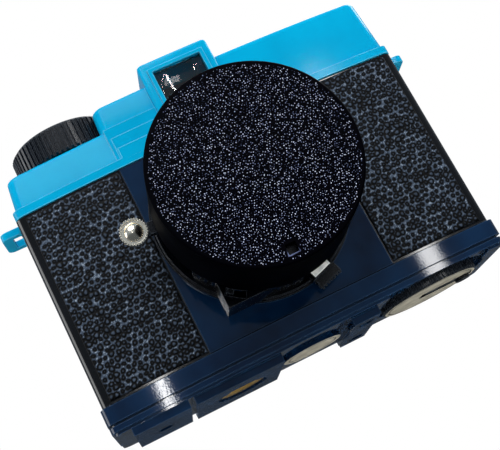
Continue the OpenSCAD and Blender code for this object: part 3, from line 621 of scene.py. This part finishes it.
@dataclass
class LensCap:
    """Push-on cap: smooth wall, rounded rim and a face with a dense scatter of raised tips, each with a
    painted highlight.

    The vent is given by its left, right, lower and upper edges from the cap's axis.
    """

    radius: float = 22.95
    rim: float = 0.55
    rim_from: float = 0.25
    rim_steps: int = 5
    mouth_edge: float = 0.2
    front: float = -31.5
    back: float = -14.3
    inner_radius: float = 21.45
    inner_front: float = -30.0
    vent: tuple[float, float, float, float] = (-2.9, -0.5, -20.9, -18.6)
    dot_pitch: float = 0.56
    dot_radius: float = 0.21
    dot_height: float = 0.07
    dot_shift: float = 0.2
    dot_sides: int = 5
    dot_spread: tuple[float, float] = (0.65, 1.25)
    foot_spread: tuple[float, float] = (0.8, 1.2)
    glow_power: float = 0.9
    least_tip_shade: float = 0.25
    foot_shade: float = 0.05
    flat_shade: float = 0.1
    lip_highlights: tuple[float, float] = (0.5, 0.4)
    row_ratio: float = 0.95
    rim_margin: float = 0.15
    vent_margin: float = 0.3
    segments: int = 160
    seed: int = 11
    crease_deg: float = 50.0

    def face(self) -> tuple[np.ndarray, list[list[int]], np.ndarray]:
        """Face of the cap, cut at its rim and at the vent.

        Returns:
            Points (x, up, lift), faces and shades, which hold the painted highlights on the tips and along
            the vent's lower edge.
        """
        rng = np.random.RandomState(self.seed)
        flat = self.radius - self.rim
        turn = np.linspace(0, 2 * math.pi, self.segments, endpoint=False)
        points = [(flat * math.cos(a), flat * math.sin(a), 0.0, self.flat_shade) for a in turn]
        x0, x1, z0, z1 = self.vent
        first = len(points)
        # painted highlight along the vent's lower edge
        lip_highlight_left, lip_highlight_right = self.lip_highlights
        points += [(x0, z0, 0.0, lip_highlight_left), (x1, z0, 0.0, lip_highlight_right)]
        points += [(x1, z1, 0.0, self.flat_shade), (x0, z1, 0.0, self.flat_shade)]
        columns = int(2 * flat / self.dot_pitch) + 1
        rows = int(columns / self.row_ratio) + 1
        for row in range(rows):
            for column in range(columns):
                x = -flat + (column + 0.5 * (row % 2)) * self.dot_pitch
                z = -flat + row * self.dot_pitch * self.row_ratio
                x += rng.uniform(-self.dot_shift, self.dot_shift)
                z += rng.uniform(-self.dot_shift, self.dot_shift)
                size = self.dot_radius * rng.uniform(*self.dot_spread)
                glow = rng.uniform(0, 1) ** self.glow_power
                room = size + self.vent_margin
                near_vent = x0 - room < x < x1 + room and z0 - room < z < z1 + room
                if math.hypot(x, z) > flat - size - self.rim_margin or near_vent:
                    continue
                # painted highlight on each tip, of random strength
                shade = self.least_tip_shade + (1 - self.least_tip_shade) * glow
                points.append((x, z, self.dot_height, shade))
                spin = rng.uniform(0, 1)
                for k in range(self.dot_sides):
                    a = (k + spin) * 2 * math.pi / self.dot_sides
                    r = size * rng.uniform(*self.foot_spread)
                    points.append((x + r * math.cos(a), z + r * math.sin(a), 0.0, self.foot_shade))
        ring = [(i, (i + 1) % self.segments) for i in range(self.segments)]
        hole = [(first + i, first + (i + 1) % 4) for i in range(4)]
        flat_points = [Vector(p[:2]) for p in points]
        made, _, faces, source, _, _ = delaunay_2d_cdt(flat_points, ring + hole, [], 1, 1e-5)
        values = np.array([points[s[0]] for s in source])
        out = np.array([(v.x, v.y, values[i, 2]) for i, v in enumerate(made)])
        kept = []
        for f in faces:
            cx, cz = out[f, 0].mean(), out[f, 1].mean()
            if not (x0 < cx < x1 and z0 < cz < z1):
                kept.append(list(f))
        return out, kept, values[:, 3]

    def build(self) -> bpy.types.Mesh:
        """Closed mesh of the whole cap.

        Returns:
            The mesh, in the row frame.
        """
        spots, faces, shade = self.face()
        points = [(x, self.front + self.dot_height - lift, LENS_Z + up) for x, up, lift in spots]
        mesh = bpy.data.meshes.new("lens_cap_face")
        work = bmesh.new()
        for p in points:
            work.verts.new([mm(c) for c in p])
        work.verts.ensure_lookup_table()
        level = work.verts.layers.float.new("shade")
        for i, value in enumerate(shade):
            work.verts[i][level] = value
        for f in faces:
            work.faces.new([work.verts[i] for i in f])
        rim_verts = [work.verts[i] for i in self._rim_order(spots)]
        front = self.front + self.dot_height
        profile = [
            (self.radius - self.rim * (1 - math.sin(a)), front + self.rim * (1 - math.cos(a)))
            for a in np.linspace(self.rim_from, math.pi / 2, self.rim_steps)
        ]
        profile += [
            (self.radius, self.back - self.mouth_edge),
            (self.radius - self.mouth_edge, self.back),
            (self.inner_radius, self.back),
            (self.inner_radius, self.inner_front),
        ]
        last = rim_verts
        for r, y in profile:
            ring = []
            for v in rim_verts:
                across, rise = v.co.x, v.co.z - mm(LENS_Z)
                grow = mm(r) / math.hypot(across, rise)
                ring.append(work.verts.new((across * grow, mm(y), mm(LENS_Z) + rise * grow)))
            for i, vert in enumerate(ring):
                after = (i + 1) % len(ring)
                work.faces.new([last[i], last[after], ring[after], vert])
            last = ring
        x0, x1, z0, z1 = self.vent
        corners = [(x0, z0), (x1, z0), (x1, z1), (x0, z1)]
        outer = [self._nearest(work, x, z, front) for x, z in corners]
        inner = [work.verts.new((mm(x), mm(self.inner_front), mm(LENS_Z + z))) for x, z in corners]
        for vert in inner:
            vert[level] = 0.0
        for i in range(4):
            after = (i + 1) % 4
            work.faces.new([outer[i], outer[after], inner[after], inner[i]])
        edges = [work.edges.get([last[i], last[(i + 1) % len(last)]]) for i in range(len(last))]
        edges += [work.edges.get([inner[i], inner[(i + 1) % 4]]) for i in range(4)]
        bmesh.ops.triangle_fill(work, use_beauty=True, use_dissolve=False, edges=edges)
        bmesh.ops.recalc_face_normals(work, faces=work.faces)
        for f in work.faces:
            f.smooth = True
        for e in work.edges:
            if len(e.link_faces) == 2 and e.calc_face_angle(0) > math.radians(self.crease_deg):
                e.smooth = False
        work.to_mesh(mesh)
        work.free()
        return mesh

    def _rim_order(self, spots: np.ndarray) -> list[int]:
        """Numbers of the points on the rim circle, in order round it."""
        flat = self.radius - self.rim
        on_rim = [i for i, p in enumerate(spots) if abs(math.hypot(p[0], p[1]) - flat) < 1e-3]
        return sorted(on_rim, key=lambda i: math.atan2(spots[i][1], spots[i][0]))

    def _nearest(self, work: bmesh.types.BMesh, x: float, up: float, y: float) -> bmesh.types.BMVert:
        """The mesh point nearest a corner of the vent on the face."""
        spot = Vector((mm(x), mm(y), mm(LENS_Z + up)))
        return min(work.verts, key=lambda v: (v.co - spot).length_squared)


@dataclass
class IndexMark:
    """Thin foil mark on the flat front of the speed lever's tab."""

    turn_deg: float = -71.6
    reach: tuple[float, float] = (20.8, 23.3)
    sides: tuple[float, float] = (-3.0, 1.7)
    front: float = -8.4
    thickness: float = 0.04
    crown: float = 0.6
    crown_width: float = 0.3
    cells: int = 12

    def build(self) -> bpy.types.Mesh:
        """Closed plate, with a slight crown so that it doesn't mirror evenly.

        Returns:
            The mesh, in the row frame.
        """
        turn = math.radians(self.turn_deg)
        rs = np.linspace(*self.reach, self.cells + 1)
        ts = np.linspace(*self.sides, self.cells + 1)
        gr, gt = np.meshgrid(rs, ts)
        edge = np.minimum(np.minimum(gr - rs[0], rs[-1] - gr), np.minimum(gt - ts[0], ts[-1] - gt))
        rise = 1 - self.crown + self.crown * np.clip(edge / self.crown_width, 0, 1)
        y = self.front - self.thickness * rise
        x = gr * math.cos(turn) - gt * math.sin(turn)
        z = LENS_Z + gr * math.sin(turn) + gt * math.cos(turn)
        outer = np.stack([x, y, z], -1).reshape(-1, 3)
        inner = np.stack([x, 0 * y + self.front, z], -1).reshape(-1, 3)
        points = np.concatenate([outer, inner]) / 1000
        return make_mesh("speed_index_mark", points, closed_grid(self.cells, self.cells))


def closed_grid(columns: int, rows: int) -> list[list[int]]:
    """Faces of two equal grids of points joined round their border.

    Args:
        columns: cells across.
        rows: cells up.

    Returns:
        Corner numbers of each face, with the second grid's points after the first's.
    """
    index = np.arange((columns + 1) * (rows + 1)).reshape(rows + 1, columns + 1)
    quads = np.stack([index[:-1, :-1], index[:-1, 1:], index[1:, 1:], index[1:, :-1]], -1).reshape(-1, 4)
    loop = np.concatenate([index[0, :], index[1:, -1], index[-1, -2::-1], index[-2:0:-1, 0]])
    after = np.roll(loop, -1)
    sides = np.stack([loop, after, after + index.size, loop + index.size], -1)
    return [*quads.tolist(), *sides.tolist(), *(quads[:, ::-1] + index.size).tolist()]


@dataclass
class FinderGlass:
    """Front window of the finder: a flat rim round a smooth round dish."""

    half_width: float = 6.6
    low: float = 66.2
    high: float = 75.4
    front: float = -3.8
    back: float = -1.6
    dish_radius: float = 5.7
    dish_depth: float = 0.95
    centre_z: float = 69.7
    cells: tuple[int, int] = (56, 40)

    def build(self) -> bpy.types.Mesh:
        """Closed mesh of the window.

        Returns:
            The mesh, in the row frame.
        """
        nx, nz = self.cells
        xs = np.linspace(-self.half_width, self.half_width, nx + 1)
        zs = np.linspace(self.low, self.high, nz + 1)
        gx, gz = np.meshgrid(xs, zs)
        reach = np.hypot(gx, gz - self.centre_z) / self.dish_radius
        dish = np.where(reach < 1, (1 - reach**2), 0.0)
        y = self.front + self.dish_depth * dish
        front = np.stack([gx, y, gz], -1).reshape(-1, 3)
        rear = np.stack([gx, 0 * gx + self.back, gz], -1).reshape(-1, 3)
        return make_mesh("finder_window", np.concatenate([front, rear]) / 1000, closed_grid(nx, nz))


@dataclass
class TopCover:
    """Teal cover with the finder, the strap lugs and the counter's window."""

    dresser: Dresser
    edge: float = 0.3

    def build(self) -> None:
        """Dresses the cover's nodes and builds the finder's window."""
        self.dresser.dress("top_cover", TEAL_ABS, self.edge)
        self.dresser.dress("strap_lugs", TEAL_ABS, 0.2)
        self.dresser.dress("finder_frame", TEAL_ABS, 0.2)
        self.dresser.dress("finder_eyepiece", BLACK_STYRENE, 0.25)
        self.dresser.dress("finder_mask", BLACK_MATT, 0.1)
        self.dresser.dress("finder_rear_lens", CLEAR_STYRENE)
        self.dresser.dress("counter_window", CLEAR_STYRENE)
        self.dresser.dress("cover_screws", STEEL, 0.1)
        glass = FinderGlass().build()
        self.dresser.piece(
            "finder_window", glass, CLEAR_STYRENE, "camera", "clear_plastic", ["finder_front_lens"]
        )


@dataclass
class Body:
    """Black shell, lens board, pebbled grips and base."""

    dresser: Dresser
    skin: PebbledSkin
    grip_inner: float = 23.7
    grip_outer: float = 47.6
    grip_low: float = 9.2
    grip_high: float = 56.6

    def build(self) -> None:
        """Dresses the body's nodes and builds the grips."""
        self.dresser.dress("main_body", BLACK_ABS, 0.2)
        # lens board and base take the navy painted reflection; the main body stays black
        self.dresser.dress("lens_board", BLACK_STYRENE, 0.15)
        self.dresser.dress("bottom_cover", BLACK_STYRENE, 0.2)
        self.dresser.dress("light_baffle", BLACK_MATT, 0.15)
        self.dresser.dress("tripod_socket", BRASS, 0.15)
        self.dresser.dress("base_screws", STEEL, 0.1)
        for name, x0, x1, seed in (
            ("grip_left", -self.grip_outer, -self.grip_inner, 3),
            ("grip_right", self.grip_inner, self.grip_outer, 4),
        ):
            mesh = self.skin.strip(name, x0, x1, self.grip_low, self.grip_high, seed)
            self.dresser.piece("pebbled_" + name, mesh, VINYL_SKIN, "camera", "grained_skin", [name])


@dataclass
class LensHead:
    """Flange, shutter case, levers, focusing ring, optics and cap."""

    dresser: Dresser
    cap: LensCap

    def build(self) -> None:
        """Dresses the lens head's nodes and builds the cap."""
        for node in ("lens_flange", "shutter_housing", "lens_barrel"):
            self.dresser.dress(node, BLACK_ABS, 0.15)
        for node in ("focus_ring", "shutter_lever", "aperture_lever", "speed_lever"):
            self.dresser.dress(node, BLACK_HANDLED, 0.12)
        self.dresser.dress("shutter_button", CHROME, 0.03, 1)
        for node in ("lens_cell", "lens_retainer", "shutter_plate"):
            self.dresser.dress(node, BLACK_MATT, 0.1)
        for node in ("front_lens", "rear_lens"):
            self.dresser.dress(node, CLEAR_STYRENE)
        for node in ("shutter_blade", "aperture_plate", "shutter_spring"):
            self.dresser.dress(node, STEEL)
        self.dresser.piece("speed_index_mark", IndexMark().build(), WHITE_FOIL, "speed", "white_plastic")
        self.dresser.piece(
            "stippled_lens_cap", self.cap.build(), SPARK_ERODED, "cap", "stippled_plastic", ["lens_cap"]
        )


@dataclass
class FilmDrive:
    """Advance wheel, spool, sprocket, pawl and counter."""

    dresser: Dresser

    def build(self) -> None:
        """Dresses the film drive's nodes."""
        self.dresser.dress("advance_wheel", BLACK_HANDLED, 0.12)
        self.dresser.dress("take_up_spool", BLACK_MATT, 0.15)
        self.dresser.dress("film_sprocket", ACETAL, 0.1)
        self.dresser.dress("counter_dial", ACETAL)
        self.dresser.dress("click_pawl", STEEL)


@dataclass
class Rewind:
    """Rewind knob with its folding crank, and the rewind button."""

    dresser: Dresser

    def build(self) -> None:
        """Dresses the rewind's nodes."""
        self.dresser.dress("rewind_knob", BLACK_HANDLED, 0.12)
        # the knob's flat end is painted with the pale floor's reflection
        self.dresser.face_end("rewind_knob", PAINTED_FLOOR_REFLECTION, 0.6)
        self.dresser.dress("rewind_fork", STEEL, 0.1)
        self.dresser.dress("rewind_crank", STEEL, 0.12)
        self.dresser.dress("crank_grip", BLACK_HANDLED, 0.12)
        self.dresser.dress("rewind_button", BLACK_STYRENE, 0.15)
        # the button's flat end is painted with the pale floor's reflection
        self.dresser.face_end("rewind_button", PAINTED_FLOOR_REFLECTION, 0.6)
        self.dresser.dress("button_spring", STEEL)


@dataclass
class Back:
    """Removable back with its skin, seals, lock and pressure plate."""

    dresser: Dresser
    skin: PebbledSkin

    def build(self) -> None:
        """Dresses the back's nodes and builds its skin."""
        self.dresser.dress("back_cover", BLACK_STYRENE, 0.2)
        self.dresser.dress("back_lock", BLACK_HANDLED, 0.15)
        self.dresser.dress("back_seal", FOAM)
        self.dresser.dress("pressure_plate", STEEL, 0.15)
        self.dresser.dress("pressure_spring", STEEL)
        mesh = self.skin.panel("back_skin", -47.0, 39.0, 11.4, 54.1, 30.0, 5)
        self.dresser.piece("pebbled_back_skin", mesh, VINYL_SKIN, "back", "grained_skin", ["back_skin"])


@dataclass(frozen=True)
class SoftBox:
    """A rectangular light, with its sizes in metres and its power in watts."""

    name: str
    spot: tuple[float, float, float]
    width: float
    height: float
    power: float
    target: tuple[float, float, float] = (0.0, 0.0, 0.04)

    def build(self) -> None:
        """Adds the light, turned to its target."""
        lamp = bpy.data.lights.new(self.name, "AREA")
        lamp.shape, lamp.size, lamp.size_y = "RECTANGLE", self.width, self.height
        lamp.energy = self.power
        holder = bpy.data.objects.new(self.name, lamp)
        holder.location = self.spot
        holder.rotation_mode = "QUATERNION"
        aim = Vector(self.target) - Vector(self.spot)
        holder.rotation_quaternion = aim.to_track_quat("-Z", "Y")
        bpy.context.scene.collection.objects.link(holder)


@dataclass
class Studio:
    """Pale floor, soft light and the viewing camera, in metres."""

    eye: tuple[float, float, float] = (-0.041865, -0.229137, -0.027013)
    forward: tuple[float, float, float] = (0.16777, 0.95458, 0.24612)
    up: tuple[float, float, float] = (0.42076, -0.29512, 0.85783)
    lens: float = 74.127
    floor_z: float = -0.14
    floor_half: float = 1.6
    sky: tuple[float, float, float, float] = (0.78, 0.89, 1.0, 1.0)
    dim: float = 0.1
    bright: float = 0.3
    dim_below: float = -0.1
    bright_above: float = 0.25

    def build(self) -> None:
        """Makes the world, the floor, the lights and the camera."""
        self._world()
        self._floor()
        self._lights()
        self._camera()

    def _world(self) -> None:
        """White to the camera, and a soft cool light on the object that fades below the horizon."""
        scene = bpy.context.scene
        scene.view_settings.view_transform = "Standard"
        world = bpy.data.worlds.new("studio")
        scene.world = world
        world.use_nodes = True
        tree = world.node_tree
        tree.nodes.clear()
        seen = add(tree, "LightPath", {}, {}).outputs["Is Camera Ray"]
        way = add(tree, "TexCoord", {}, {}).outputs["Generated"]
        height = add(tree, "SeparateXYZ", {}, {"0": way}).outputs[2]
        fade = {"in:1": self.dim_below, "in:2": self.bright_above, "in:3": self.dim, "in:4": self.bright}
        power = add(tree, "MapRange", fade, {"0": height}).outputs[0]
        soft = add(tree, "Background", {"in:0": self.sky}, {"1": power})
        white = add(tree, "Background", {"in:0": (1.0, 1.0, 1.0, 1.0), "in:1": 1.0}, {})
        mix = add(tree, "MixShader", {}, {"0": seen, "1": soft.outputs[0], "2": white.outputs[0]})
        add(tree, "OutputWorld", {}, {"0": mix.outputs[0]})

    def _floor(self) -> None:
        """Wide pale floor, below the viewer, and kept out of reflections so that the base stays dark."""
        half = self.floor_half
        corners = [(-half, -half), (half, -half), (half, half), (-half, half)]
        mesh = make_mesh("floor", [(x, y, self.floor_z) for x, y in corners], [(0, 1, 2, 3)])
        mesh.materials.append(PALE_PAPER.build())
        floor = bpy.data.objects.new("floor", mesh)
        bpy.context.scene.collection.objects.link(floor)
        floor.visible_glossy = False

    def _lights(self) -> None:
        """Soft boxes: key above, two upright strips in front, window at the left, rim and floor wash."""
        for box in (
            SoftBox("key_box", (-0.1, -0.4, 0.6), 0.5, 0.5, 4.4),
            SoftBox("window_box", (-0.75, 0.1, 0.25), 0.4, 0.4, 1.7),
            SoftBox("right_strip", (0.5, -0.88, 0.3), 0.05, 0.5, 1.9),
            SoftBox("left_strip", (-0.21, -0.98, 0.16), 0.02, 0.13, 0.36),
            SoftBox("rim_box", (0.5, 0.1, 0.45), 0.3, 0.3, 2.5),
            SoftBox("floor_wash", (0.4, 1.1, 0.7), 0.8, 0.8, 5.0, (0.4, 1.2, self.floor_z)),
        ):
            box.build()

    def _camera(self) -> None:
        """Viewing camera, low in front and tilted."""
        data = bpy.data.cameras.new("viewer")
        data.lens = self.lens
        data.sensor_width = 36.0
        data.clip_start, data.clip_end = 0.01, 20.0
        viewer = bpy.data.objects.new("viewer", data)
        ahead, up = Vector(self.forward).normalized(), Vector(self.up)
        right = ahead.cross(up).normalized()
        up = right.cross(ahead)
        turned = Matrix((right, up, -ahead)).transposed().to_4x4()
        viewer.matrix_world = Matrix.Translation(self.eye) @ turned
        bpy.context.scene.collection.objects.link(viewer)
        bpy.context.scene.camera = viewer


def main() -> None:
    """Builds the looks in order."""
    logging.basicConfig(level=logging.INFO, format="%(name)s: %(message)s")
    dresser = Dresser()
    skin = PebbledSkin()
    Studio().build()
    TopCover(dresser).build()
    Body(dresser, skin).build()
    LensHead(dresser, LensCap()).build()
    FilmDrive(dresser).build()
    Rewind(dresser).build()
    Back(dresser, PebbledSkin(thickness=0.45)).build()


if __name__ == "__main__":
    main()
